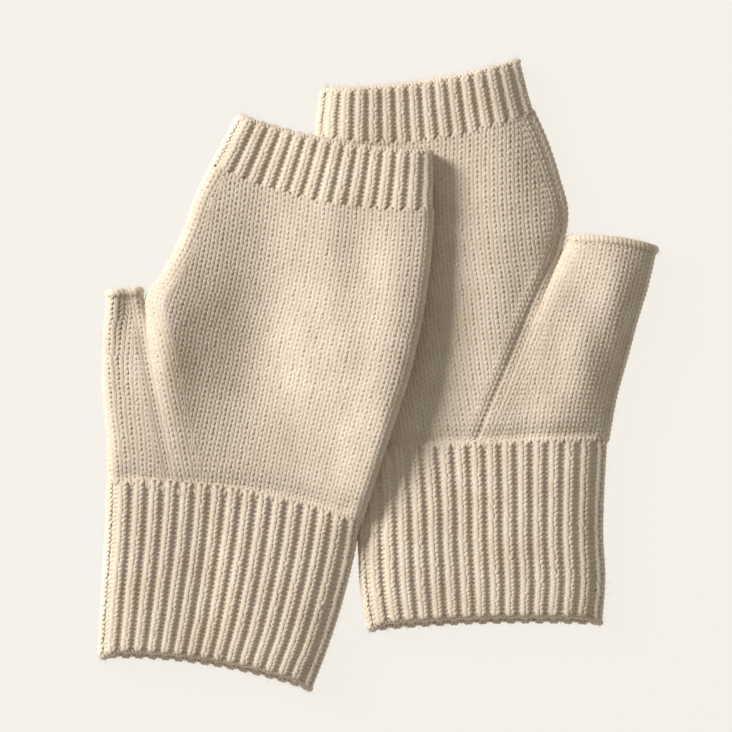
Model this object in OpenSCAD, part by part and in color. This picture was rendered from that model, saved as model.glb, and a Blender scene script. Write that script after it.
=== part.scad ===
// Pair of fingerless knitted gloves lying flat, the right glove lapped over the left one.
// Each glove is a flattened tube: a back layer, a palm layer and rounded sides between them.
// Each thumb folds up along a line from its crotch to the side of the wrist.
// The right cuff folds up along the wrist.

/* [Size] */
// Length of one glove from the wrist hem to the knuckle edge, mm
glove_l = 191; // [175:1:210]
// Thickness of one knitted layer, mm
wall_t = 2.2; // [1.8:0.1:2.6]
// Clear height between the two layers of a glove, mm
gap_h = 4.8; // [4.6:0.1:6]

/* [Details] */
// Half of the angle that a side seam covers on the rounded edge, degrees
seam_half = 16; // [10:1:25]
// Clearance across a fold line, mm
fold_gap = 0.5; // [0.3:0.1:1]
// Clearance between two pieces of one layer, mm
join_gap = 0.25; // [0.1:0.05:0.5]

/* [Lap] */
// Clearance between the right glove and the left one under it, mm
lap_gap = 0.4; // [0.3:0.1:1]
// Width of the slope where the right glove climbs onto the left one, mm
slope_w = 24; // [18:1:32]

/* [View] */
// Piece to show, or all of them

/* [Hidden] */

plan_k = glove_l / 191;          // the pattern below is drawn for a 191 mm glove
pair_centre = [0.25, -1.15];     // middle of the pattern's box, which becomes the origin
tube_h = 2 * wall_t + gap_h;     // a glove lying flat
ro = tube_h / 2;                 // outer radius of the rounded side
ri = ro - wall_t;                // inner radius of the rounded side
lap_h = tube_h + lap_gap;        // how far the right glove climbs
half_fold = fold_gap / 2;
half_join = join_gap / 2;
arc_n = 4;                       // facets on a quarter turn of the rounded side

knit_c = [0.86, 0.80, 0.71];
rib_c = [0.80, 0.73, 0.63];
seam_c = [0.66, 0.58, 0.48];
edge_c = [0.92, 0.88, 0.80];
thumb_c = [0.83, 0.77, 0.69];
gusset_c = [0.89, 0.83, 0.75];

// ---- pattern, plan points in mm with the fingers towards +Y ----
// A row is [left point, right point, bow, left side round, right side round].
// Bow is how far the middle of the row lies ahead of its ends.

// wrist line of the right glove, which its cuff folds about
right_wrist = [[-95.2, -37.5], [-5.2, -52.5]];
// wrist line of the left glove
left_wrist = [[-9.6, -27.2], [81.4, -23.4]];
// gusset lines, from the wrist to the thumb crotch
right_gusset = [[-69, -41.9], [-82.6, 30.5]];
left_gusset = [[38.2, -25.2], [66.9, 47]];
// lines that the thumbs fold about, from the side of the wrist to the thumb crotch
right_thumb_fold = [[-94.4, -37], [-82.6, 30.5]];
left_thumb_fold = [[80.6, -23], [66.9, 47]];

function unit(v) = v / norm(v);
function along(line) = unit(line[1] - line[0]);
// to the left of a line's direction
function beside(line) = [-along(line)[1], along(line)[0]];
function on_line(line, s, side) = line[0] + along(line) * s + beside(line) * side;

// right glove
right_cuff_rows = [
  [[-98.05, -94.2], [-22.2, -108.35], 3.4, 1, 1],
  [[-97.4, -77], [-15.8, -92], 2.5, 1, 1],
  [[-96.2, -57], [-9.6, -71.5], 1.2, 1, 1],
  [right_wrist[0] - beside(right_wrist) * half_fold,
   right_wrist[1] - beside(right_wrist) * half_fold, 0, 1, 1]
];
right_cuff_edge_rows = [
  [[-98.2, -96.9], [-23.2, -111], 3.4, 1, 1],
  [[-98.06, -94.45], [-22.3, -108.6], 3.4, 1, 1]
];
right_body_rows = [
  [on_line(right_gusset, 0.3, -half_join),
   right_wrist[1] + beside(right_wrist) * half_fold, 0, 0, 1],
  [on_line(right_gusset, 14, -half_join), [-1.2, -40], 0, 0, 1],
  [on_line(right_gusset, 28, -half_join), [3.2, -27.5], -0.5, 0, 1],
  [on_line(right_gusset, 43, -half_join), [7.8, -13.5], -1, 0, 1],
  [on_line(right_gusset, 57, -half_join), [12, -0.5], -1.5, 0, 1],
  [on_line(right_gusset, 70, -half_join), [15, 12], -2, 0, 1],
  [[-78.4, 36], [17, 22], -2.5, 1, 1],
  [[-70.6, 49.5], [19, 36], -3.4, 1, 1],
  [[-63, 64.5], [20.2, 50], -4.3, 1, 1],
  [[-57, 74.6], [20.6, 58.4], -5, 1, 1]
];
right_index_rows = [for (i = [6 : 9]) right_body_rows[i]];
right_knuckle_rows = [
  [[-56.85, 74.9], [20.6, 58.7], -5, 1, 1],
  [[-53, 82], [20.7, 67.5], -4, 1, 1],
  [[-50.1, 88.4], [20.7, 75.4], -3, 1, 1]
];
right_knuckle_edge_rows = [
  [[-50, 88.65], [20.7, 75.65], -3, 1, 1],
  [[-48.9, 91], [20.7, 78], -3, 1, 1]
];
right_gusset_rows = [
  [right_wrist[0] + beside(right_wrist) * half_fold,
   on_line(right_gusset, 0.3, half_join), 0, 1, 0],
  [[-95.6, -24], on_line(right_gusset, 14, half_join), 0, 1, 0],
  [[-96.4, -12.2], on_line(right_gusset, 27.5, half_join), 0, 1, 0],
  [on_line(right_thumb_fold, 26, -half_fold), on_line(right_gusset, 29, half_join), 0, 0, 0],
  [on_line(right_thumb_fold, 46, -half_fold), on_line(right_gusset, 48, half_join), 0, 0, 0],
  [on_line(right_thumb_fold, 60, -half_fold), on_line(right_gusset, 63, half_join), 0, 0, 0]
];
right_thumb_rows = [
  [[-96.7, -11], on_line(right_thumb_fold, 26, half_fold), 0, 1, 0],
  [[-97.3, 0], on_line(right_thumb_fold, 37, half_fold), 0, 1, 0],
  [[-97.3, 11], on_line(right_thumb_fold, 47, half_fold), 0, 1, 0],
  [[-96.5, 20.5], on_line(right_thumb_fold, 57, half_fold), 0, 1, 0],
  [[-95.9, 27.1], on_line(right_thumb_fold, 65.6, half_fold), 0, 1, 0]
];
right_thumb_edge_rows = [
  [[-95.9, 27.35], on_line(right_thumb_fold, 65.85, half_fold), 0, 1, 1],
  [[-95.7, 29.7], on_line(right_thumb_fold, 68.2, half_fold), 0, 1, 1]
];

// left glove
left_cuff_rows = [
  [[-1.5, -87.25], [79.55, -84.75], 1.5, 1, 1],
  [[-3.9, -75], [80.6, -72.5], 1, 1, 1],
  [[-4.1, -60], [80.2, -57], 0.5, 1, 1],
  [[-3.2, -46], [80.4, -42], 0, 1, 1],
  [left_wrist[0] - beside(left_wrist) * half_fold,
   left_wrist[1] - beside(left_wrist) * half_fold, 0, 1, 1]
];
left_cuff_edge_rows = [
  [[-0.6, -89.9], [79.3, -87.4], 1.5, 1, 1],
  [[-1.4, -87.5], [79.5, -85], 1.5, 1, 1]
];
left_body_rows = [
  [left_wrist[0] + beside(left_wrist) * half_fold,
   on_line(left_gusset, 0.3, half_join), 0, 1, 0],
  [[-12.8, -13], on_line(left_gusset, 15.5, half_join), 0, 1, 0],
  [[-16, 2], on_line(left_gusset, 31, half_join), -0.5, 1, 0],
  [[-18.8, 16], on_line(left_gusset, 46.5, half_join), -1, 1, 0],
  [[-20.9, 30], on_line(left_gusset, 62, half_join), -2, 1, 0],
  [[-22.2, 42], on_line(left_gusset, 75, half_join), -3, 1, 0],
  [[-22.9, 53], [67.3, 57.5], -4, 1, 1],
  [[-23, 65], [64.9, 69.5], -5, 1, 1],
  [[-22.6, 75.5], [61.2, 81.5], -5.5, 1, 1],
  [[-21.9, 85.2], [56, 93.2], -6, 1, 1]
];
left_index_rows = [for (i = [6 : 9]) left_body_rows[i]];
left_knuckle_rows = [
  [[-21.9, 85.5], [55.9, 93.5], -6, 1, 1],
  [[-21.2, 92], [53.9, 99], -3.5, 1, 1],
  [[-20.3, 98.3], [51.9, 106], -1, 1, 1]
];
left_knuckle_edge_rows = [
  [[-20.3, 98.55], [51.9, 106.25], -1, 1, 1],
  [[-20, 100.9], [51.3, 108.7], -1, 1, 1]
];
left_gusset_rows = [
  [on_line(left_gusset, 0.3, -half_join),
   left_wrist[1] + beside(left_wrist) * half_fold, 0, 0, 1],
  [on_line(left_gusset, 11, -half_join), [82.6, -16], 0, 0, 1],
  [on_line(left_gusset, 18, -half_join), [84, -9.2], 0, 0, 1],
  [on_line(left_gusset, 19.5, -half_join), on_line(left_thumb_fold, 15, half_fold), 0, 0, 0],
  [on_line(left_gusset, 36, -half_join), on_line(left_thumb_fold, 32, half_fold), 0, 0, 0],
  [on_line(left_gusset, 54, -half_join), on_line(left_thumb_fold, 50, half_fold), 0, 0, 0],
  [on_line(left_gusset, 68, -half_join), on_line(left_thumb_fold, 64, half_fold), 0, 0, 0]
];
left_thumb_rows = [
  [on_line(left_thumb_fold, 15, -half_fold), [84.5, -6.9], 0, 0, 1],
  [on_line(left_thumb_fold, 28, -half_fold), [87.8, 5], 0, 0, 1],
  [on_line(left_thumb_fold, 42, -half_fold), [91.5, 19], 0, 0, 1],
  [on_line(left_thumb_fold, 56, -half_fold), [95.4, 31], 0, 0, 1],
  [on_line(left_thumb_fold, 67.6, -half_fold), [98, 41.4], 0, 0, 1]
];
left_thumb_edge_rows = [
  [on_line(left_thumb_fold, 67.85, -half_fold), [98.1, 41.65], 0, 1, 1],
  [on_line(left_thumb_fold, 70.2, -half_fold), [98.7, 44], 0, 1, 1]
];

// ---- lap: how high the right glove lies at a plan point ----
// outer edge of the left glove, y against x
left_outer_x = [
  [-110, 0], [-75, -3.9], [-60, -4.1], [-46, -3.2], [-27.2, -9.6], [-13, -12.8],
  [2, -16], [16, -18.8], [30, -20.9], [42, -22.2], [53, -22.9], [65, -23],
  [75.5, -22.6], [85.2, -21.9], [101, -20]
];
lap_start_y = -52.5;    // the right cuff lies beside the left one, not on it
lap_full_y = -38;

function smooth(t) = let (c = min(max(t, 0), 1)) c * c * (3 - 2 * c);
function lift(p) =
  let (edge_x = lookup(p[1] / plan_k, left_outer_x) * plan_k)
  lap_h * smooth((p[0] - edge_x + slope_w - 4) / slope_w)
        * smooth((p[1] / plan_k - lap_start_y) / (lap_full_y - lap_start_y));

// ---- flattened tube ----
// A profile point is [side, angle, share of the flat part], clockwise seen from the wrist.
// Side -1 is the left edge, 1 the right one, 0 the flat part.
// Angle is 90 on the back layer, 0 at the side and -90 on the palm layer.
function arc(side, from, to, n) = [for (i = [0 : n]) [side, from + (to - from) * i / n, 0]];
function flat(n, up) = [for (i = [1 : n - 1]) [0, up, i / n]];
function turned(list) = [for (i = [len(list) - 1 : -1 : 0]) list[i]];

function back_profile(start, n) = concat(
  arc(-1, start, 90, arc_n), flat(n, 90), arc(1, 90, start, arc_n));
function palm_profile(start, n) = concat(
  arc(1, -start, -90, arc_n), turned(flat(n, -90)), arc(-1, -90, -start, arc_n));
function ring_profile(n) = concat(
  arc(-1, -90, 90, 2 * arc_n), flat(n, 90),
  arc(1, 90, -90, 2 * arc_n), turned(flat(n, -90)));

// Width of the side strip of a row: the turn of a round side, or a flat strip on an open one.
function side_width(round, w) = round * ro + (1 - round) * min(ro, w / 4);

// Point of a row's profile. An open side runs flat to the end of the row.
function row_point(row, p, r, start, lapped) =
  let (
    a = row[0] * plan_k,
    b = row[1] * plan_k,
    dir = unit(b - a),
    ahead = [-dir[1], dir[0]],
    w = norm(b - a),
    side = p[0],
    angle = p[1],
    up = angle >= 0 ? 1 : -1,
    round = side < 0 ? row[3] : row[4],
    left_w = side_width(row[3], w),
    right_w = side_width(row[4], w),
    bent_in = ro - r * cos(angle),
    bent_z = ro + r * sin(angle),
    straight_in = side_width(0, w) * (abs(angle) - start) / (90 - start),
    straight_z = ro + up * r,
    inwards = round * bent_in + (1 - round) * straight_in,
    middle = left_w + (w - left_w - right_w) * p[2],
    q = side == 0 ? middle : side < 0 ? inwards : w - inwards,
    z = side == 0 ? ro + up * r : round * bent_z + (1 - round) * straight_z,
    f = q / w,
    xy = a + dir * q + ahead * row[2] * 4 * f * (1 - f) * plan_k,
    placed = xy - pair_centre * plan_k
  )
  [placed[0], placed[1], z + (lapped ? lift(xy) : 0)];

// Quad as two triangles, clockwise seen from outside.
function quad(a, b, c, d) = [[a, b, c], [a, c, d]];

// Solid between the outer and the inner surface of the profile along the rows.
module tube(rows, profile, start, lapped, closed = false) {
  m = len(rows) - 1;
  n = len(profile);
  outer = [for (row = rows, p = profile) row_point(row, p, ro, start, lapped)];
  inner = [for (row = rows, p = profile) row_point(row, p, ri, start, lapped)];
  half = len(outer);
  last = closed ? n - 1 : n - 2;
  walls = [for (j = [0 : m - 1], k = [0 : last])
    let (a = j * n + k, b = a + n, d = j * n + (k + 1) % n, c = d + n)
    each concat(quad(a, b, c, d), quad(half + a, half + d, half + c, half + b))];
  ends = [for (k = [0 : last])
    let (d = (k + 1) % n, top = m * n)
    each concat(quad(half + k, k, d, half + d),
      quad(half + top + k, half + top + d, top + d, top + k))];
  sides = closed ? [] : [for (j = [0 : m - 1])
    let (a = j * n, b = a + n, e = a + n - 1, g = b + n - 1)
    each concat(quad(half + b, b, a, half + a), quad(half + e, e, g, half + g))];
  polyhedron(concat(outer, inner), concat(walls, ends, sides), convexity = 6);
}

plain_n = 5;     // facets across a layer that lies flat
lapped_n = 26;   // facets across a layer that climbs over the other glove
seam_start = seam_half + 2;
rib_start = 1.5;

module back_layer(rows, n, start, lapped) tube(rows, back_profile(start, n), start, lapped);
module palm_layer(rows, n, start, lapped) tube(rows, palm_profile(start, n), start, lapped);
module ring(rows, n, lapped) tube(rows, ring_profile(n), 0, lapped, closed = true);
module side_seam(rows, side, lapped)
  tube(rows, arc(side, side * seam_half, -side * seam_half, 2), 0, lapped);

// ---- left glove, underneath ----
module left_back_panel() { color(knit_c) back_layer(left_body_rows, plain_n, seam_start, false); }
module left_palm_panel() { color(knit_c) palm_layer(left_body_rows, plain_n, seam_start, false); }
module left_outer_seam() { color(seam_c) side_seam(left_body_rows, -1, false); }
module left_index_seam() { color(seam_c) side_seam(left_index_rows, 1, false); }
module left_gusset_back() { color(gusset_c) back_layer(left_gusset_rows, 4, rib_start, false); }
module left_gusset_palm() { color(gusset_c) palm_layer(left_gusset_rows, 4, rib_start, false); }
module left_thumb_back() { color(thumb_c) back_layer(left_thumb_rows, 4, seam_start, false); }
module left_thumb_palm() { color(thumb_c) palm_layer(left_thumb_rows, 4, seam_start, false); }
module left_thumb_seam() { color(seam_c) side_seam(left_thumb_rows, 1, false); }
module left_thumb_edge() { color(edge_c) ring(left_thumb_edge_rows, 4, false); }
module left_knuckle_rib_back() {
  color(rib_c) back_layer(left_knuckle_rows, plain_n, rib_start, false);
}
module left_knuckle_rib_palm() {
  color(rib_c) palm_layer(left_knuckle_rows, plain_n, rib_start, false);
}
module left_knuckle_edge() { color(edge_c) ring(left_knuckle_edge_rows, plain_n, false); }
module left_cuff_rib_back() { color(rib_c) back_layer(left_cuff_rows, plain_n, rib_start, false); }
module left_cuff_rib_palm() { color(rib_c) palm_layer(left_cuff_rows, plain_n, rib_start, false); }
module left_cuff_edge() { color(edge_c) ring(left_cuff_edge_rows, plain_n, false); }

// ---- right glove, lapped over the left one ----
module right_back_panel() { color(knit_c) back_layer(right_body_rows, lapped_n, seam_start, true); }
module right_palm_panel() { color(knit_c) palm_layer(right_body_rows, lapped_n, seam_start, true); }
module right_outer_seam() { color(seam_c) side_seam(right_body_rows, 1, true); }
module right_index_seam() { color(seam_c) side_seam(right_index_rows, -1, true); }
module right_gusset_back() { color(gusset_c) back_layer(right_gusset_rows, 3, rib_start, false); }
module right_gusset_palm() { color(gusset_c) palm_layer(right_gusset_rows, 3, rib_start, false); }
module right_thumb_back() { color(thumb_c) back_layer(right_thumb_rows, 2, seam_start, false); }
module right_thumb_palm() { color(thumb_c) palm_layer(right_thumb_rows, 2, seam_start, false); }
module right_thumb_seam() { color(seam_c) side_seam(right_thumb_rows, -1, false); }
module right_thumb_edge() { color(edge_c) ring(right_thumb_edge_rows, 2, false); }
module right_knuckle_rib_back() {
  color(rib_c) back_layer(right_knuckle_rows, lapped_n, rib_start, true);
}
module right_knuckle_rib_palm() {
  color(rib_c) palm_layer(right_knuckle_rows, lapped_n, rib_start, true);
}
module right_knuckle_edge() { color(edge_c) ring(right_knuckle_edge_rows, lapped_n, true); }
module right_cuff_rib_back() { color(rib_c) back_layer(right_cuff_rows, plain_n, rib_start, false); }
module right_cuff_rib_palm() { color(rib_c) palm_layer(right_cuff_rows, plain_n, rib_start, false); }
module right_cuff_edge() { color(edge_c) ring(right_cuff_edge_rows, plain_n, false); }

left_back_panel();
left_palm_panel();
left_outer_seam();
left_index_seam();
left_gusset_back();
left_gusset_palm();
left_thumb_back();
left_thumb_palm();
left_thumb_seam();
left_thumb_edge();
left_knuckle_rib_back();
left_knuckle_rib_palm();
left_knuckle_edge();
left_cuff_rib_back();
left_cuff_rib_palm();
left_cuff_edge();
right_back_panel();
right_palm_panel();
right_outer_seam();
right_index_seam();
right_gusset_back();
right_gusset_palm();
right_thumb_back();
right_thumb_palm();
right_thumb_seam();
right_thumb_edge();
right_knuckle_rib_back();
right_knuckle_rib_palm();
right_knuckle_edge();
right_cuff_rib_back();
right_cuff_rib_palm();
right_cuff_edge();
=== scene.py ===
"""A pair of fingerless gloves in fine wool, in which every stitch is a loop of yarn.

Each glove is a flattened knitted tube. A Tube turns a place in the fabric, along and around it,
into a point in the frame. A course of stitches is a path in the fabric, and a yarn is swept on it.
Lengths are in millimetres until a mesh is made, and the fingers point towards +Y.
"""

import math

import bpy
import numpy as np
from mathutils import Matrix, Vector


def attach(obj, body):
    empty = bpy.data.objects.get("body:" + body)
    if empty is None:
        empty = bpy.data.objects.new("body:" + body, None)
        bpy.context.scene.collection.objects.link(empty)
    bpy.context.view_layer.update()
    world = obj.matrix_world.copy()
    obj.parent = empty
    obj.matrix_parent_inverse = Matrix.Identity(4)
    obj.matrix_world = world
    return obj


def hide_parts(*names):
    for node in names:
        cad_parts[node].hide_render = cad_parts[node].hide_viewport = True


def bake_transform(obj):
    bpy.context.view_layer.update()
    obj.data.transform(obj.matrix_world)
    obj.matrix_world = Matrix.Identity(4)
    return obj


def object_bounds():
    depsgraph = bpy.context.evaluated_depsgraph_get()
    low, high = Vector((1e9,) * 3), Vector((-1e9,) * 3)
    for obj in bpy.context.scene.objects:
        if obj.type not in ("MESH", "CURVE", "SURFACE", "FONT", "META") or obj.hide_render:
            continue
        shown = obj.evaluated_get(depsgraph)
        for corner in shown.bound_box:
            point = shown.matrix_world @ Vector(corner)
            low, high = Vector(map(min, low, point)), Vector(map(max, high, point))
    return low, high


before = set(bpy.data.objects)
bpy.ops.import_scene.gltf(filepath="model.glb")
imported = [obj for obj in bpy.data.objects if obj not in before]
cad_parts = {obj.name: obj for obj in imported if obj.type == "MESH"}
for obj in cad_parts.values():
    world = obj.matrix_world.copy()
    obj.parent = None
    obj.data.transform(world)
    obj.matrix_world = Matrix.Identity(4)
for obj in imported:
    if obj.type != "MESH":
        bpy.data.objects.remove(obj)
cad_low, cad_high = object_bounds()
rng = np.random.default_rng(11)

# ---------------------------------------------------------------- pattern
PAIR_CENTRE = np.array([0.25, -1.15])  # middle of the pattern's box, which is the frame's origin
TUBE_H = 9.2       # height of a glove lying flat
RO = TUBE_H / 2    # outer radius of its rounded sides
MID = RO - 1.15    # radius at which the middle of the knit runs
FLAT_Z = RO - MID  # height at which the middle of the lower layer lies
PRESS_W = 8.0      # how far in from a fold it is pressed flat
FOLD_W = 7.0       # width beside a fold in which the back layer's own relief sets in
LAP_W = 18.0       # width beside the right fold in which the back layer leaves the palm's lift
STITCH_H = 1.78    # height of a course of plain knit, and of the stitches of a side seam
RIB_H = 1.63       # height of a course of rib
PLAIN_R = 0.68     # radius of the yarn in plain knit
RIB_R = 0.64       # radius of the yarn in rib
KNUCKLE_RIBS = 16  # ribs on each layer of a knuckle band
CUFF_RIBS = 17     # ribs on each layer of a cuff
FIBRE_R = 0.022    # half the width of a loose fibre at its root
FIBRE_REACH = 2.4  # length of the longest loose fibre
FLOOR_Z = 0.05     # lowest place that a loose fibre reaches
SOFTNESS = 0.6     # how far the shading of a yarn leans towards the fabric's own

RIGHT_WRIST = ((-95.2, -37.5), (-5.2, -52.5))
LEFT_WRIST = ((-9.6, -27.2), (81.4, -23.4))
RIGHT_GUSSET = ((-69, -41.9), (-82.6, 30.5))
LEFT_GUSSET = ((38.2, -25.2), (66.9, 47))
RIGHT_THUMB_FOLD = ((-94.4, -37), (-82.6, 30.5))
LEFT_THUMB_FOLD = ((80.6, -23), (66.9, 47))


def on_line(line, s):
    """Point of a line, s mm from its start."""
    a, b = np.array(line)
    return a + (b - a) / np.linalg.norm(b - a) * s


# A row is left point, right point, bow, and whether its left and its right side are round.
# Bow is how far the middle of the row lies ahead of its ends.
RIGHT_CUFF = [
    ((-98.6, -99.4), (-21.9, -111.4), 3.6, 1, 1),
    ((-97.4, -78), (-14.6, -92), 3.6, 1, 1),
    ((-96.0, -57), (-8.6, -71.5), 4.0, 1, 1),
    ((-95.4, -37.5), (-4.6, -52.5), 4.6, 1, 1),
]
RIGHT_HAND = [
    (on_line(RIGHT_GUSSET, 0), (-4.6, -52.5), 3.2, 0, 1),
    (on_line(RIGHT_GUSSET, 14), (-0.8, -40), 2.4, 0, 1),
    (on_line(RIGHT_GUSSET, 28), (3.2, -27.5), 1.2, 0, 1),
    (on_line(RIGHT_GUSSET, 43), (7.8, -13.5), 0, 0, 1),
    (on_line(RIGHT_GUSSET, 57), (12, -0.5), -1.2, 0.2, 1),
    (on_line(RIGHT_GUSSET, 70), (15, 12), -2, 0.85, 1),
    ((-76.2, 36), (17, 22), -2.5, 1, 1),
    ((-69.4, 49.5), (19, 36), -3.4, 1, 1),
    ((-64, 64.5), (20.4, 50), -4.3, 1, 1),
    ((-58.8, 74.6), (20.8, 58.4), -5, 1, 1),
]
RIGHT_KNUCKLE = [
    ((-58.8, 74.6), (20.8, 58.4), -5, 1, 1),
    ((-54.6, 82.2), (20.9, 67.5), -4, 1, 1),
    ((-49.6, 91.6), (20.7, 78), -3.2, 1, 1),
]
RIGHT_THUMB = [
    ((-95.4, -37.5), on_line(RIGHT_GUSSET, 0), 0.6, 1, 0),
    ((-95.6, -25.5), on_line(RIGHT_GUSSET, 13.5), 0.3, 1, 0),
    ((-96.5, -13.5), on_line(RIGHT_GUSSET, 27), 0, 1, 0),
    ((-97.3, -2), on_line(RIGHT_GUSSET, 40), 0, 1, 0),
    ((-97.3, 8.5), on_line(RIGHT_GUSSET, 52), 0, 1, 0.1),
    ((-96.5, 19), on_line(RIGHT_GUSSET, 63), 0, 1, 0.5),
    ((-95.7, 29.2), on_line(RIGHT_GUSSET, 73.5), 0, 1, 1),
]
LEFT_CUFF = [
    ((-3.4, -89.9), (80.8, -87.6), 1.5, 1, 1),
    ((-5.8, -75), (81.9, -72.5), 1, 1, 1),
    ((-6.6, -60), (81.2, -57), 0.8, 1, 1),
    ((-7.2, -46), (81.5, -42), 0.8, 1, 1),
    ((-9.6, -27.2), (82.6, -23.4), 1.2, 1, 1),
]
LEFT_HAND = [
    ((-9.6, -27.2), on_line(LEFT_GUSSET, 0), 0.6, 1, 0),
    ((-12.8, -13), on_line(LEFT_GUSSET, 15.5), 0.3, 1, 0),
    ((-16, 2), on_line(LEFT_GUSSET, 31), -0.5, 1, 0),
    ((-18.8, 16), on_line(LEFT_GUSSET, 46.5), -1, 1, 0),
    ((-20.9, 30), on_line(LEFT_GUSSET, 62), -2, 1, 0.3),
    ((-22.2, 42), on_line(LEFT_GUSSET, 75), -3, 1, 0.9),
    ((-22.9, 53), (68.2, 57.5), -4, 1, 1),
    ((-23, 65), (65.4, 69.5), -5, 1, 1),
    ((-22.6, 75.5), (61.4, 82), -5.5, 1, 1),
    ((-21.9, 85.2), (56.2, 94), -6.4, 1, 1),
]
LEFT_KNUCKLE = [
    ((-21.9, 85.2), (56.2, 94), -6.4, 1, 1),
    ((-21.2, 92), (54.2, 101), -4.8, 1, 1),
    ((-20, 100.6), (51.6, 111.2), -3.2, 1, 1),
]
LEFT_THUMB = [
    (on_line(LEFT_GUSSET, 0), (82.6, -23.4), 0.6, 0, 1),
    (on_line(LEFT_GUSSET, 18), (85.4, -8), 0.4, 0, 1),
    (on_line(LEFT_GUSSET, 34), (89, 5), 0.4, 0, 1),
    (on_line(LEFT_GUSSET, 50), (92.8, 19), 0.6, 0.05, 1),
    (on_line(LEFT_GUSSET, 65), (96.6, 31.5), 1, 0.4, 1),
    ((67.4, 48.4), (99.6, 44.6), 1.6, 1, 1),
]
# Left side of the left glove, which the right glove climbs over
LEFT_SIDE = np.array([(0, -110), *(row[0] for row in LEFT_CUFF[1:-1] + LEFT_HAND), (-20, 101)])


def smooth(t):
    t = np.clip(t, 0, 1)
    return t * t * (3 - 2 * t)


def lifts(x, y):
    """How high the palm and the back layer of the right glove are lifted at a plan point.

    A term is a height times a smooth step, which says how far before the left glove's side the
    rise starts and how wide it is.
    """
    past = x - np.interp(y, LEFT_SIDE[:, 1], LEFT_SIDE[:, 0])
    palm = 4.6 * smooth((past + 20) / 21) + 2.8 * smooth((past + 2) / 18)
    back = 3.0 * smooth((past + 20) / 28) + 2.7 * smooth((past + 4) / 34)
    proud = 2.2 * np.exp(-(((y + 20) / 55) ** 2)) * smooth((past + 6) / 34)
    starts = smooth((y + 64) / 24)
    return (palm + proud) * starts, (back + proud) * starts


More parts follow.
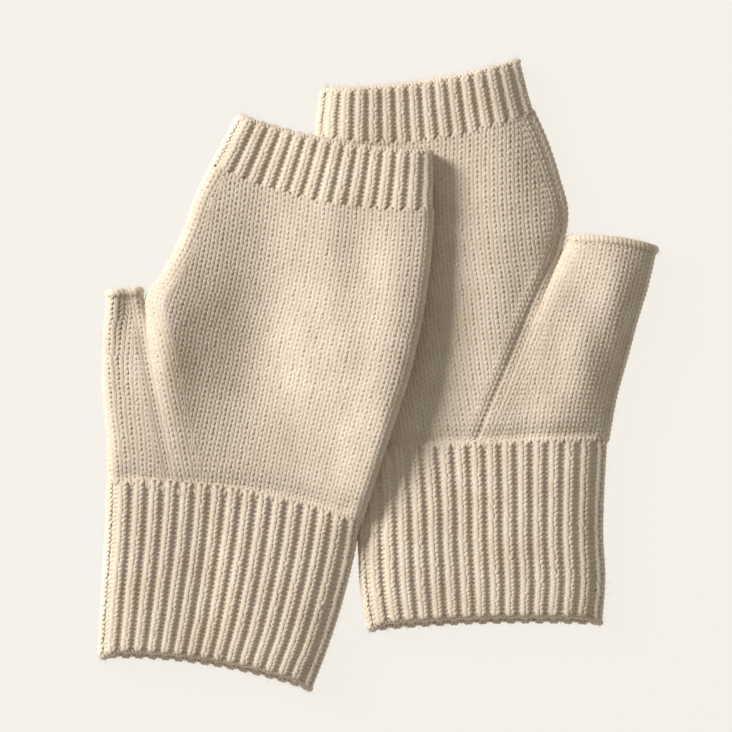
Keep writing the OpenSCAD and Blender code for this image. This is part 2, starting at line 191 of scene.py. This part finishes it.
# ---------------------------------------------------------------- tubes
class Tube:
    """A knitted tube lying flat, or the part of one between two of its edges.

    v runs along it from the first row, and s across a layer from the left fold to the right one.
    Side is 1 for the back layer and -1 for the palm. A rolled end turns inwards at the mouth.
    Presses says how flat its left and its right fold are pressed, and lapped that the tube climbs
    over the left glove. Puff is how far the back layer swells just past the first row, or sinks
    if it is below 0, and short how far it ends before the palm layer there. Groove is the depth
    of a furrow in the back layer along the right fold.
    """

    ROLL_R = 1.25

    def __init__(self, rows, relief, presses, lapped=False, roll_start=False, roll_end=False,
                 puff=0.0, short=0.0, groove=0.0):
        self.rows = np.array([[*left, *right, *rest] for left, right, *rest in rows], float)
        self.relief, self.presses, self.lapped = relief, presses, lapped
        self.puff, self.short, self.groove = puff, short, groove
        t = np.linspace(-1, len(rows), 50 * len(rows))
        row = self.rows_at(t)
        middle = (row[:, :2] + row[:, 2:4]) / 2
        middle[:, 1] += row[:, 4]
        step = np.linalg.norm(np.diff(middle, axis=0), axis=1)
        v = np.concatenate([[0], np.cumsum(step)])
        self.t, self.v = t, v - np.interp(0, t, v)
        self.length = float(np.interp(len(rows) - 1, self.t, self.v))
        self.roll_start = self.ROLL_R if roll_start else -1e3
        self.roll_end = self.length - self.ROLL_R if roll_end else 1e3

    def rows_at(self, t):
        """Rows at fractional places, on a smooth curve that runs straight past the ends."""
        last = len(self.rows) - 1
        inside = np.clip(t, 0, last)
        i = np.clip(np.floor(inside).astype(int), 0, last - 1)
        f = (inside - i)[:, None]
        a, b, c, d = (self.rows[np.clip(i + k, 0, last)] for k in (-1, 0, 1, 2))
        curve = 0.5 * (2 * b + (c - a) * f + (2 * a - 5 * b + 4 * c - d) * f**2
                       + (3 * b - a - 3 * c + d) * f**3)
        beyond = (t - inside)[:, None]
        ends = np.where(beyond < 0, self.rows[1] - self.rows[0], self.rows[-1] - self.rows[-2])
        out = curve + beyond * ends
        out[:, 5:] = np.clip(out[:, 5:], 0, 1)
        return out

    def strips(self, row):
        """Of each row: width, that of an open side, and the arc and plan width of both sides."""
        w = np.linalg.norm(row[:, 2:4] - row[:, :2], axis=1)
        open_w = np.minimum(RO, w / 4)
        arcs = [r * MID * math.pi / 2 + (1 - r) * open_w for r in (row[:, 5], row[:, 6])]
        plans = [r * RO + (1 - r) * open_w for r in (row[:, 5], row[:, 6])]
        return w, open_w, arcs, plans

    def across(self, v):
        """Length of a layer from fold to fold."""
        row = self.rows_at(np.interp(np.atleast_1d(v), self.v, self.t))
        w, _, arcs, plans = self.strips(row)
        return arcs[0] + arcs[1] + w - plans[0] - plans[1]

    def surface(self, v, s, side):
        """Points of the middle of the knit."""
        row = self.rows_at(np.interp(v, self.v, self.t))
        w, open_w, arcs, plans = self.strips(row)
        length = arcs[0] + arcs[1] + w - plans[0] - plans[1]
        q, z = plans[0] + s - arcs[0], np.full(len(v), RO) + side * MID
        for k, u in ((0, s), (1, length - s)):
            round_ = row[:, 5 + k]
            f = u / arcs[k]
            turn = np.clip(f, -0.4, 1) * math.pi / 2
            inwards = round_ * (RO - MID * np.cos(turn)) + (1 - round_) * open_w * f
            height = RO + side * (round_ * MID * np.sin(turn) + (1 - round_) * MID)
            near = u < arcs[k]
            q = np.where(near, inwards if k == 0 else w - inwards, q)
            z = np.where(near, height, z)
        f = np.clip(q / w, 0, 1)
        along = (row[:, 2:4] - row[:, :2]) / w[:, None]
        ahead = np.stack([-along[:, 1], along[:, 0]], 1)
        xy = row[:, :2] + along * q[:, None] + ahead * (row[:, 4] * 4 * f * (1 - f))[:, None]
        pressed = 1 - row[:, 5] * self.presses[0] * np.exp(-((q / PRESS_W) ** 2))
        pressed -= row[:, 6] * self.presses[1] * np.exp(-(((w - q) / PRESS_W) ** 2))
        z = FLAT_Z + (z - FLAT_Z) * pressed
        off_left = 1 - row[:, 5] * (1 - smooth((q - 1) / FOLD_W))
        free = off_left * (1 - row[:, 6] * (1 - smooth((w - q - 1) / FOLD_W)))
        if self.lapped:
            palm, back = lifts(xy[:, 0], xy[:, 1])
            off_right = 1 - row[:, 6] * (1 - smooth((w - q - 1) / LAP_W))
            z = z + palm + (side > 0) * np.minimum(free, off_right) * (back - palm)
        puffed = self.puff * smooth(v / 3) * np.exp(-((np.maximum(v - 3, 0) / 3.5) ** 2))
        z = z + (side > 0) * free * (slack(xy[:, 0], xy[:, 1], *self.relief) + puffed)
        return np.column_stack([xy - PAIR_CENTRE, z])

    def place(self, v, s, side, depth):
        """Points depth mm outside the middle of the knit, and the fabric's normals there.

        Past the start or the end of a rolled mouth they turn inwards round a small radius.
        """
        over = np.maximum(v - self.roll_end, 0) - np.maximum(self.roll_start - v, 0)
        turn = over / self.ROLL_R
        rolled = np.abs(turn) > 0
        reach = self.ROLL_R + depth
        flat_v = np.where(rolled, v - over + reach * np.sin(turn), v)
        out = np.where(rolled, reach * np.cos(turn) - self.ROLL_R, depth)
        width = np.interp(flat_v, self.v[::25], self.across(self.v[::25]))
        if self.groove:
            out = out - self.groove * (side > 0) * np.exp(-(((width - s - 4) / 1.3) ** 2))
        if self.short:
            off_folds = smooth((np.minimum(s, width - s) - 1) / 8)
            flat_v = flat_v + (side > 0) * self.short * off_folds * smooth(1 - flat_v / 16)
        beside = 0.15  # distance of the points that give the slopes
        p = self.surface(flat_v, s, side)
        dv = self.surface(flat_v + beside, s, side) - p
        ds = self.surface(flat_v, s + beside, side) - p
        n = np.cross(ds, dv) * np.broadcast_to(side, len(v))[:, None]
        n /= np.linalg.norm(n, axis=1)[:, None]
        dv /= np.linalg.norm(dv, axis=1)[:, None]
        return p + n * out[:, None], n * np.cos(turn)[:, None] + dv * np.sin(turn)[:, None]


# Soft swells and hollows of the back layers: x, y, half width, half length, height
RIGHT_SWELLS = [
    (-74, 10, 9, 30, 2.7),     # the index side stands up
    (-43, 10, 17, 32, -5.2),   # hollow before the slope
    (-5, 44, 8, 20, -1.4),
    (-86, 22, 6, 8, -1.8),     # thumb tucked in beside the hand
    (-60, -72, 7, 20, -0.8),
]
LEFT_SWELLS = [
    (84, 28, 8, 16, 2.3),      # crest of the thumb
    (72, 4, 8, 16, 2.2),
    (63, -14, 8, 9, 1.3),
    (52, 20, 6, 26, -0.8),     # hollow along the gusset
    (44, 66, 9, 22, 0.9),
    (30, -60, 9, 22, -0.7),
    (8, 10, 22, 70, -3.2),     # pressed down by the right glove
]
# Creases of the back layers: line, place across it, half width, height at its start and its end
RIGHT_CREASES = [(RIGHT_GUSSET, 2.2, 3.0, 0.0, -2.0), (RIGHT_GUSSET, -4.5, 5, 0.0, 0.5)]
LEFT_CREASES = [(LEFT_GUSSET, 1.0, 3.0, 0.2, -1.4)]


def slack(x, y, swells, creases):
    """Height that waves, swells and creases add to a back layer."""
    waves = (np.sin(x / 9.1 + y / 31 + 1.3) + np.sin(y / 12.7 - x / 37 + 0.4)
             + np.sin((x + y) / 17.3 + 2.1))
    total = 0.15 * waves
    for cx, cy, rx, ry, height in swells:
        total = total + height * np.exp(-(((x - cx) / rx) ** 2) - ((y - cy) / ry) ** 2)
    for line, beside, wide, first, last in creases:
        a, b = np.array(line)
        span = np.linalg.norm(b - a)
        ux, uy = (b - a) / span
        far = (x - a[0]) * ux + (y - a[1]) * uy
        off = (y - a[1]) * ux - (x - a[0]) * uy - beside
        fade = smooth(far / 12) * smooth((span - far) / 6 + 1)
        total = total + (first + (last - first) * far / span) * fade * np.exp(-((off / wide) ** 2))
    return total


# ---------------------------------------------------------------- stitches
class Plain:
    """Lay-out of the wales of a plain panel.

    Wales are counted from the free side. The first ones share the strip as far as a steady wale,
    whose distance from the free side is given at the start, the middle and the end. From there
    they keep their width. On the shaped side a band of wales follows the edge, and the wale
    beside it takes up the change of width: that is where a stitch is added or dropped.
    """

    PITCH = 2.87

    def __init__(self, steady=0, distances=(0, 0, 0), band=3, lean=0.0, from_right=False, over=0.0):
        self.steady, self.distances, self.band = steady, distances, band
        self.lean, self.from_right, self.over = lean, from_right, over

    def held(self, tube, v):
        return float(np.interp(v / tube.length, [0, 0.5, 1], self.distances))

    def count(self, tube, v):
        """Wales in the course at v."""
        width = float(tube.across(v)[0]) + self.over
        wales = math.ceil((width - self.held(tube, v)) / self.PITCH)
        return self.steady + max(wales, self.band + 1)

    def places(self, tube, v, wale, count):
        """Places across the layer of wale numbers at v."""
        width = float(tube.across(v)[0]) + self.over
        held = self.held(tube, v)
        pitch = min(self.PITCH, (width - held) / (self.band + 0.5))
        marks = [(0, 0), (self.steady, held)] if self.steady else [(0, 0)]
        marks += [(count - self.band - 1, held + (count - self.steady - self.band - 1) * pitch),
                  (count - self.band, width - self.band * pitch), (count, width)]
        wales, at = zip(*sorted(set(marks)))
        beyond = np.maximum(wale - count, 0) + np.minimum(wale, 0)
        s = np.interp(wale, wales, at) + self.PITCH * beyond
        s -= self.lean * v * smooth(1 - wale / (count - self.band))
        return width - self.over - s if self.from_right else s


def loops(count, detail, slant, h, jitter, first=0):
    """A course of loops: phase, wale number and rise of its points."""
    t = first + np.arange(int(round((count - first) * detail)) + 1) / detail
    stitch = np.clip(t.astype(int), 0, count)
    tight = 1 + rng.normal(0, jitter, count + 1)[stitch]
    w = t + slant * np.sin(4 * math.pi * t) + rng.normal(0, 0.6 * jitter, count + 1)[stitch]
    return t, w, -h * tight * np.cos(2 * math.pi * t)


def plain_course(tube, plan, v, course, detail):
    """Path of one course of plain knit: s, v and depth of its points, and the yarn's thickness."""
    count = plan.count(tube, v)
    t, w, rise = loops(count, detail, 0.25, 0.98 * course, 0.05)
    before, after = (plan.places(tube, v + d, w, count) for d in (-course, course))
    s = before + (after - before) * (rise / course + 1) / 2
    swing = np.cos(4 * math.pi * t)
    inside = s > -0.2 if plan.lean else slice(None)
    return s[inside], (v + rise)[inside], (-0.5 * swing)[inside], (1 - 0.08 * swing)[inside]


def rib_course(tube, ribs, v, course, detail):
    """Path of one course of 1x1 rib. The knit wales stand out and crowd over the purl ones."""
    t, w, rise = loops(2 * ribs, detail, 0.24, 0.98 * course, 0.05)
    whole = np.floor(w / 2)
    s = (whole + np.interp(w - 2 * whole, [0, 1, 2], [0, 0.6, 1])) * tube.across(v + rise) / ribs
    bulge, swing = np.sin(math.pi * w), np.cos(4 * math.pi * t)
    return s, v + rise, 0.62 * bulge - 0.6 * bulge * swing, 1 - 0.12 * swing


def sweep(points, normals, radius, sides, flat=0.8):
    """Vertices, faces and shading normals of a soft yarn, pressed a little flat on the fabric.

    Light scatters among the fibres of wool, so the shading leans towards that of the fabric.
    """
    tangent = np.gradient(points, axis=0)
    tangent /= np.linalg.norm(tangent, axis=1)[:, None] + 1e-9
    beside = np.cross(tangent, normals)
    beside /= np.linalg.norm(beside, axis=1)[:, None] + 1e-9
    up = np.cross(beside, tangent)
    angle = np.arange(sides) * 2 * math.pi / sides
    radius = np.broadcast_to(radius, len(points))[:, None, None]
    out = beside[:, None] * np.cos(angle)[:, None] + up[:, None] * np.sin(angle)[:, None]
    ring = points[:, None] + radius * (out - up[:, None] * (1 - flat) * np.sin(angle)[:, None])
    soft = out * (1 - SOFTNESS) + normals[:, None] * SOFTNESS
    n, m = len(points), sides
    i = (np.arange(n - 1) * m)[:, None]
    j = np.arange(m)
    k = (j + 1) % m
    quads = np.stack([i + j, i + m + j, i + m + k, i + k], 2).reshape(-1, 4)
    return ring.reshape(-1, 3), quads, soft.reshape(-1, 3)


def mesh_object(name, points, quads, material, normals=None):
    """Object from points in mm, four-sided faces and the normals to shade them by."""
    mesh = bpy.data.meshes.new(name)
    mesh.vertices.add(len(points))
    mesh.vertices.foreach_set("co", (np.asarray(points) * 0.001).astype(np.float32).ravel())
    mesh.loops.add(quads.size)
    mesh.loops.foreach_set("vertex_index", quads.astype(np.int32).ravel())
    mesh.polygons.add(len(quads))
    mesh.polygons.foreach_set("loop_start", np.arange(0, quads.size, 4, dtype=np.int32))
    mesh.polygons.foreach_set("loop_total", np.full(len(quads), 4, np.int32))
    mesh.update(calc_edges=True)
    mesh.polygons.foreach_set("use_smooth", np.ones(len(quads), bool))
    if normals is not None:
        unit = normals / np.linalg.norm(normals, axis=1)[:, None]
        mesh.normals_split_custom_set_from_vertices(unit)
    mesh.materials.append(material)
    obj = bpy.data.objects.new(name, mesh)
    bpy.context.scene.collection.objects.link(obj)
    return obj


def fuzz(points, normals, radius, count):
    """Loose fibres that stand off a yarn: narrow bent ribbons."""
    at = rng.integers(0, len(points), count)
    out = normals[at] + rng.normal(0, 0.8, (count, 3))
    out /= np.linalg.norm(out, axis=1)[:, None]
    start = points[at] + out * radius * 0.8
    reach = np.minimum(rng.gamma(3.0, 0.4, count), FIBRE_REACH)[:, None]
    bend = rng.normal(0, 0.45, (count, 3)) * reach
    across = np.cross(out, rng.normal(0, 1, (count, 3)))
    across *= FIBRE_R / np.linalg.norm(across, axis=1)[:, None]
    across *= np.sign(np.sum(np.cross(across, out) * normals[at], 1))[:, None]
    steps = np.linspace(0, 1, 4)[:, None, None]
    middle = start + out * reach * steps + bend * steps**2
    middle[..., 2] = np.maximum(middle[..., 2], FLOOR_Z)
    sides = np.stack([middle - across * (1 - 0.7 * steps), middle + across * (1 - 0.7 * steps)], 1)
    vertices = sides.transpose(2, 0, 1, 3).reshape(-1, 3)
    quad = np.array([[2 * i, 2 * i + 1, 2 * i + 3, 2 * i + 2] for i in range(3)])
    quads = (np.arange(count)[:, None, None] * 8 + quad).reshape(-1, 4)
    return vertices, quads, np.repeat(normals[at], 8, 0)


class Piece:
    """Collects yarns and fibres for one object."""

    def __init__(self):
        self.points, self.faces, self.normals, self.size = [], [], [], 0

    def add(self, points, faces, normals):
        self.points.append(points)
        self.faces.append(faces + self.size)
        self.normals.append(normals)
        self.size += len(points)

    def yarn(self, tube, s, v, side, depth, radius, sides=6, fibres=0.0):
        points, normals = tube.place(v, s, side, depth)
        uneven = 1 + 0.05 * np.sin(np.arange(len(points)) * 0.83 + rng.uniform(0, 6))
        self.add(*sweep(points, normals, radius * uneven, sides))
        if fibres:
            self.add(*fuzz(points, normals, np.mean(radius), max(int(fibres * len(points)), 1)))

    def make(self, name, material):
        return mesh_object(name, np.concatenate(self.points), np.concatenate(self.faces), material,
                           np.concatenate(self.normals))


def courses(tube, course, before, after):
    """Places of the courses along a tube, and their height, which fills it evenly."""
    rows = max(int(round((tube.length + before + after) / course)), 1)
    step = (tube.length + before + after) / rows
    return -before + step * (np.arange(rows) + 0.5), step


# Points in a stitch, sides of its yarn and fibres at a point, for the back and the palm layer
FINENESS = {1: (12, 6, 0.6), -1: (8, 5, 0.1)}


def plain_knit(tube, plan, side, after=0.0):
    piece = Piece()
    detail, sides, fibres = FINENESS[side]
    places, step = courses(tube, STITCH_H, 0, after)
    for place in places:
        s, v, depth, thick = plain_course(tube, plan, place, step, detail)
        piece.yarn(tube, s, v, side, depth, PLAIN_R * thick, sides, fibres)
    return piece


def rib_knit(tube, ribs, side, before=0.0, after=0.0):
    piece = Piece()
    detail, sides, fibres = FINENESS[side]
    places, step = courses(tube, RIB_H, before, after)
    for place in places:
        s, v, depth, thick = rib_course(tube, ribs, place, step, detail)
        piece.yarn(tube, s, v, side, depth, RIB_R * thick, sides, fibres)
    return piece


def side_seam(tube, at_right, start, end):
    """Slanting stitches that close the two layers along a fold."""
    piece = Piece()
    half = 1.6  # reach of a stitch on each side of the fold
    x = np.linspace(-half, half, 9)
    for place in np.arange(start, end, STITCH_H):
        v = place + 0.5 * x + rng.normal(0, 0.1)
        s = tube.across(v) - np.abs(x) if at_right else np.abs(x)
        depth = -0.3 - 0.5 * (x / half) ** 4
        piece.yarn(tube, s, v, np.where(x >= 0, 1, -1), depth, 0.5, 6, 0.5)
    return piece


def bound_edge(tube, place, radius, twist, stitch, depth):
    """Cast-off edge round a mouth: two strands that wind about each other."""
    piece = Piece()
    width = tube.across(place)[0]
    turns = int(round(2 * width / stitch))
    t = np.linspace(0, 2 * width, turns * 10 + 1)
    side = np.where(t <= width, 1, -1)
    s = np.where(t <= width, t, 2 * width - t)
    for strand in (0, math.pi):
        phase = math.pi * turns * t / width + strand
        out = depth * side + twist * np.sin(phase)
        piece.yarn(tube, s, place + twist * np.cos(phase), side, out, radius, 6, 2.5)
    return piece


def gap_shade_sheet(tube, depth, before, after):
    """Sheet under the knit of both layers, which shows between the stitches; its darker, browner wool
    is painted shade for the gaps.
    """
    v = np.linspace(-before, tube.length + after, int(tube.length / 2) + 6)
    steps = 60                 # faces across one layer
    ring = 2 * steps + 1       # points round both layers
    u = np.linspace(0, 1, steps + 1)
    grid = []
    for place in v:
        width = tube.across(place)[0]
        s = np.concatenate([u, u[-2::-1]]) * width
        side = np.where(np.arange(ring) <= steps, 1, -1)
        points, _ = tube.place(np.full(ring, place), s, side, np.full(ring, depth))
        grid.append(points)
    i = (np.arange(len(v) - 1) * ring)[:, None]
    j = np.arange(ring - 1)
    quads = np.stack([i + j, i + j + 1, i + j + ring + 1, i + j + ring], 2).reshape(-1, 4)
    return np.concatenate(grid), quads


# ---------------------------------------------------------------- materials
def wool(name, colour, shade):
    """Soft fuzzy wool: uneven dye, fine fibres in relief and a pale sheen."""
    material = bpy.data.materials.new(name)
    material.use_nodes = True
    nodes, links = material.node_tree.nodes, material.node_tree.links
    shader = nodes["Principled BSDF"]
    place = nodes.new("ShaderNodeTexCoord")
    cloud = nodes.new("ShaderNodeTexNoise")
    cloud.inputs["Scale"].default_value = 90
    cloud.inputs["Detail"].default_value = 4
    fibre = nodes.new("ShaderNodeTexNoise")
    fibre.inputs["Scale"].default_value = 2600
    fibre.inputs["Detail"].default_value = 3
    links.new(place.outputs["Object"], cloud.inputs["Vector"])
    links.new(place.outputs["Object"], fibre.inputs["Vector"])
    mixed = nodes.new("ShaderNodeMix")
    mixed.data_type = "FLOAT"
    mixed.inputs["Factor"].default_value = 0.75
    links.new(cloud.outputs["Fac"], mixed.inputs[2])
    links.new(fibre.outputs["Fac"], mixed.inputs[3])
    ramp = nodes.new("ShaderNodeValToRGB")
    ramp.color_ramp.elements[0].position = 0.32
    ramp.color_ramp.elements[0].color = (*shade, 1)
    ramp.color_ramp.elements[1].position = 0.62
    ramp.color_ramp.elements[1].color = (*colour, 1)
    links.new(mixed.outputs[0], ramp.inputs["Fac"])
    links.new(ramp.outputs["Color"], shader.inputs["Base Color"])
    bump = nodes.new("ShaderNodeBump")
    bump.inputs["Strength"].default_value = 0.5
    bump.inputs["Distance"].default_value = 0.0002
    links.new(fibre.outputs["Fac"], bump.inputs["Height"])
    links.new(bump.outputs["Normal"], shader.inputs["Normal"])
    shader.inputs["Roughness"].default_value = 0.92
    shader.inputs["Specular IOR Level"].default_value = 0.2
    shader.inputs["Sheen Weight"].default_value = 0.2
    shader.inputs["Sheen Roughness"].default_value = 0.5
    return material


def srgb(r, g, b):
    """Linear colour of an sRGB one given from 0 to 255."""
    return tuple(((c / 255 + 0.055) / 1.055) ** 2.4 if c > 10 else c / 3295 for c in (r, g, b))


knit_wool = wool("knit_wool", srgb(242, 229, 211), srgb(204, 184, 157))
# The same wool in two copies: the rib copy is painted a little lighter than the plain-knit copy,
# painted light that offsets the deeper shade among the ribs.
rib_wool_painted_lighter = wool("rib_wool_painted_lighter", srgb(247, 235, 216), srgb(209, 188, 161))
# Darker, browner wool for the sheet under the stitches: painted shade for the gaps between them.
gap_shade_wool = wool("gap_shade_wool", srgb(208, 181, 148), srgb(190, 162, 128))

# ---------------------------------------------------------------- camera, light and floor
low, high = Vector(cad_low), Vector(cad_high)
aim = (low + high) / 2 + Vector((-0.0039, 0.0043, 0))  # framed as in the photo
camera = bpy.data.objects.new("camera", bpy.data.cameras.new("camera"))
camera.data.lens = 210.8
camera.data.clip_end = 10
camera.location = (aim.x, aim.y, high.z + 1.5)
bpy.context.scene.collection.objects.link(camera)
bpy.context.scene.camera = camera


def area_light(name, location, size, power, colour):
    """Square light that faces the gloves."""
    light = bpy.data.lights.new(name, "AREA")
    light.size = size
    light.energy = power
    light.color = colour
    obj = bpy.data.objects.new(name, light)
    obj.location = location
    obj.rotation_euler = (aim - Vector(location)).to_track_quat("-Z", "Y").to_euler()
    bpy.context.scene.collection.objects.link(obj)


elevation, azimuth, reach = math.radians(24.5), math.radians(150), 4.5
area_light("key", aim + reach * Vector((math.cos(elevation) * math.cos(azimuth),
                                        math.cos(elevation) * math.sin(azimuth),
                                        math.sin(elevation))),
           1.3, 277, (1, 0.99, 0.98))
world = bpy.data.worlds.new("studio")
world.use_nodes = True
sky = world.node_tree.nodes["Background"].inputs
sky["Color"].default_value = (1, 0.955, 0.885, 1)
sky["Strength"].default_value = 0.31
bpy.context.scene.world = world
bpy.context.scene.view_settings.view_transform = "Standard"

floor_mesh = bpy.data.meshes.new("floor")
floor_mesh.from_pydata([(-3, -3, 0), (3, -3, 0), (3, 3, 0), (-3, 3, 0)], [], [(0, 1, 2, 3)])
floor = bpy.data.objects.new("floor", floor_mesh)
floor.location.z = low.z - 0.0002
paper = bpy.data.materials.new("paper")
paper.use_nodes = True
paper_shader = paper.node_tree.nodes["Principled BSDF"].inputs
paper_shader["Base Color"].default_value = (*srgb(40, 39, 37), 1)
paper_shader["Roughness"].default_value = 1
paper_shader["Emission Color"].default_value = (*srgb(245, 241, 233), 1)
paper_shader["Emission Strength"].default_value = 0.968
floor.data.materials.append(paper)
bpy.context.scene.collection.objects.link(floor)

# ---------------------------------------------------------------- gloves
def bend(piece, root, child, line, out, reach):
    """Bake a piece's transform into its mesh; the piece is not folded. out (1 to the left of the line)
    is not used.
    """
    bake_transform(piece)


GLOVES = {
    "right": dict(
        hand=Tube(RIGHT_HAND, (RIGHT_SWELLS, RIGHT_CREASES), (0.08, 0.28), lapped=True, puff=-0.8),
        cuff=Tube(RIGHT_CUFF, (RIGHT_SWELLS, RIGHT_CREASES), (0.12, 0.24), lapped=True,
                  roll_start=True, short=2.2),
        knuckle=Tube(RIGHT_KNUCKLE, (RIGHT_SWELLS, RIGHT_CREASES), (0.08, 0.28), lapped=True,
                     roll_end=True),
        thumb=Tube(RIGHT_THUMB, (RIGHT_SWELLS, RIGHT_CREASES), (0.05, 0.15), roll_end=True, puff=-0.8),
        hand_plan=Plain(14, (35.8, 42.4, 39.0), from_right=True, over=1.2),
        thumb_plan=Plain(lean=0.05, band=2), crotch=RIGHT_THUMB_FOLD, out=1, outer_right=True),
    "left": dict(
        hand=Tube(LEFT_HAND, (LEFT_SWELLS, LEFT_CREASES), (0.45, 0.45), puff=-0.8, groove=0.7),
        cuff=Tube(LEFT_CUFF, (LEFT_SWELLS, LEFT_CREASES), (0.45, 0.42), roll_start=True, short=2.2),
        knuckle=Tube(LEFT_KNUCKLE, (LEFT_SWELLS, LEFT_CREASES), (0.45, 0.45), roll_end=True),
        thumb=Tube(LEFT_THUMB, (LEFT_SWELLS, LEFT_CREASES), (0.4, 0.38), roll_end=True, puff=-0.8,
                   groove=0.6),
        hand_plan=Plain(10, (28.4, 32.4, 29.9), over=1.2),
        thumb_plan=Plain(band=2, from_right=True), crotch=LEFT_THUMB_FOLD, out=-1, outer_right=False),
}

for glove, g in GLOVES.items():
    root = f"{glove}_glove"
    hand, cuff, knuckle, thumb = g["hand"], g["cuff"], g["knuckle"], g["thumb"]
    outer_right = g["outer_right"]
    parts = {part: [] for part in ("hand", "knuckle", "cuff", "thumb")}

    def fit(piece, part, finish, *nodes):
        """List a piece under its part, hide the nodes it stands for and attach it to the glove's body;
        a thumb piece or a right cuff piece only has its transform baked.
        """
        parts[part].append(piece)
        if nodes:
            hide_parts(*[f"{glove}_{n}" for n in nodes])
        if part == "thumb":
            bend(piece, root, f"{glove}_thumb", g["crotch"], g["out"], 9)
        elif part == "cuff" and glove == "right":
            bend(piece, root, "right_cuff", RIGHT_WRIST, -1, 18)
        else:
            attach(piece, root)

    for side, layer in ((1, "back"), (-1, "palm")):
        panel = plain_knit(hand, g["hand_plan"], side)
        fit(panel.make(f"{glove}_{layer}_panel_knit", knit_wool),
            "hand", "knit", f"{layer}_panel")
        band = rib_knit(knuckle, KNUCKLE_RIBS, side, after=2.5)
        fit(band.make(f"{glove}_knuckle_{layer}_knit", rib_wool_painted_lighter),
            "knuckle", "rib", f"knuckle_rib_{layer}")
        wrist = rib_knit(cuff, CUFF_RIBS, side, before=2.5)
        fit(wrist.make(f"{glove}_cuff_{layer}_knit", rib_wool_painted_lighter),
            "cuff", "rib", f"cuff_rib_{layer}")
        sleeve = plain_knit(thumb, g["thumb_plan"], side, after=2.0)
        fit(sleeve.make(f"{glove}_thumb_{layer}_knit", knit_wool),
            "thumb", "knit", f"thumb_{layer}", f"gusset_{layer}")

    crotch_v = hand.length * 0.62  # where the thumb leaves the hand
    for part, tube, at_right, start, seam in (
            ("hand", hand, outer_right, 0, "outer_seam"),
            ("hand", hand, not outer_right, crotch_v, "index_seam"),
            ("thumb", thumb, not outer_right, 0, "thumb_seam")):
        fit(side_seam(tube, at_right, start, tube.length).make(f"{glove}_{seam}_yarn", knit_wool),
            part, "seam", seam)
    for part, tube, place, radius, twist, stitch, wool_used in (
            ("knuckle", knuckle, knuckle.length, 0.6, 0.48, 2.6, rib_wool_painted_lighter),
            ("cuff", cuff, 0, 0.6, 0.48, 2.6, rib_wool_painted_lighter),
            ("thumb", thumb, thumb.length - 0.8, 0.95, 0.7, 3.1, knit_wool)):
        edge = bound_edge(tube, place, radius, twist, stitch, 0.4)
        fit(edge.make(f"{glove}_{part}_edge_yarn", wool_used), part, "edge", f"{part}_edge")

    for part, tube, depth, finish in (("hand", hand, -0.35, "knit"), ("knuckle", knuckle, -1.0, "rib"),
                                      ("cuff", cuff, -1.0, "rib"), ("thumb", thumb, -0.35, "knit")):
        before = {"cuff": 2.0, "knuckle": 1.5}.get(part, 0.5)
        after = {"cuff": 1.5, "hand": 0.5}.get(part, 2.0)
        points, quads = gap_shade_sheet(tube, depth, before, after)
        v = np.linspace(-before, tube.length + after, 60)
        girth = 2 * tube.across(v) / 1000
        # The sheet is drawn in the painted shade wool.
        fabric = mesh_object(f"{glove}_{part}_fabric", points, quads, gap_shade_wool)
        fit(fabric, part, finish)
